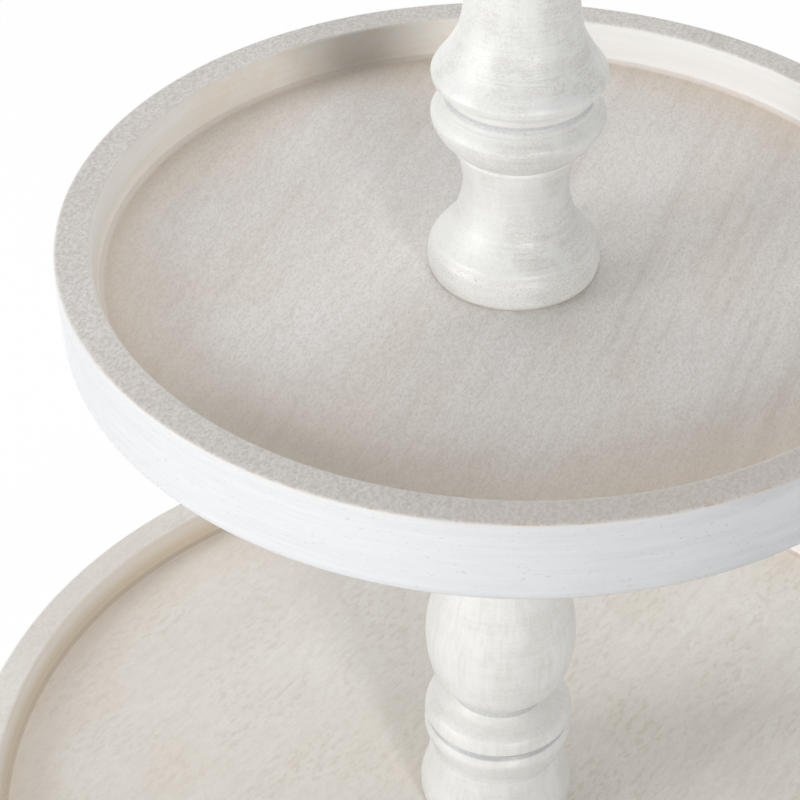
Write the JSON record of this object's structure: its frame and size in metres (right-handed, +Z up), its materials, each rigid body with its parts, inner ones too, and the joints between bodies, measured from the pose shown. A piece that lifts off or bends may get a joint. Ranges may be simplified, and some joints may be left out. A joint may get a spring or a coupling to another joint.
{
  "type": "tiered stand",
  "caption": "Tiered display stand: a large and a small round rimmed wooden tray on turned posts, with a ball finial handle.",
  "frame": {"origin": "centre of the stand on the surface it stands on, at the bottom of the foot pads", "axes": "+Z up along the axis of the turned posts"},
  "size_m": [0.406, 0.406, 0.5086],
  "materials": {
    "washed_wood_tray": "white-washed greige wood, matt",
    "washed_wood_post": "warm white washed wood, matt",
    "zinc_steel": "zinc plated",
    "brass_insert": "machined",
    "felt": "pressed felt"
  },
  "bodies": {
    "base": {"lower_tray": "washed_wood_tray", "lower_post": "washed_wood_post", "joining_stud": "zinc_steel", "base_bolt": "zinc_steel", "base_washer": "zinc_steel", "lower_post_bottom_insert": "brass_insert", "lower_post_top_insert": "brass_insert", "foot_pad_1": "felt", "foot_pad_2": "felt", "foot_pad_3": "felt", "foot_pad_4": "felt"},
    "upper_tier": {"upper_tray": "washed_wood_tray"},
    "handle_thread": {"upper_post_insert": "brass_insert"},
    "handle": {"upper_post": "washed_wood_post", "finial": "washed_wood_post", "finial_screw": "zinc_steel"}
  },
  "joints": [
    {"name": "tray_lift", "type": "slide", "parent": "base", "child": "upper_tier", "axis": [0, 0, 1], "range_m": [0, 0.03]},
    {"name": "handle_turn", "type": "hinge", "parent": "handle_thread", "child": "handle", "pos_m": [0, 0, 0.2692], "axis": [0, 0, 1], "range_deg": [0, 3600]},
    {"name": "handle_rise", "type": "slide", "parent": "upper_tier", "child": "handle_thread", "axis": [0, 0, 1], "range_m": [0, 0.0126]}
  ],
  "couplings": [
    {"joint": "handle_rise", "follows": "handle_turn", "m_per_rad": 0.00019894}
  ]
}
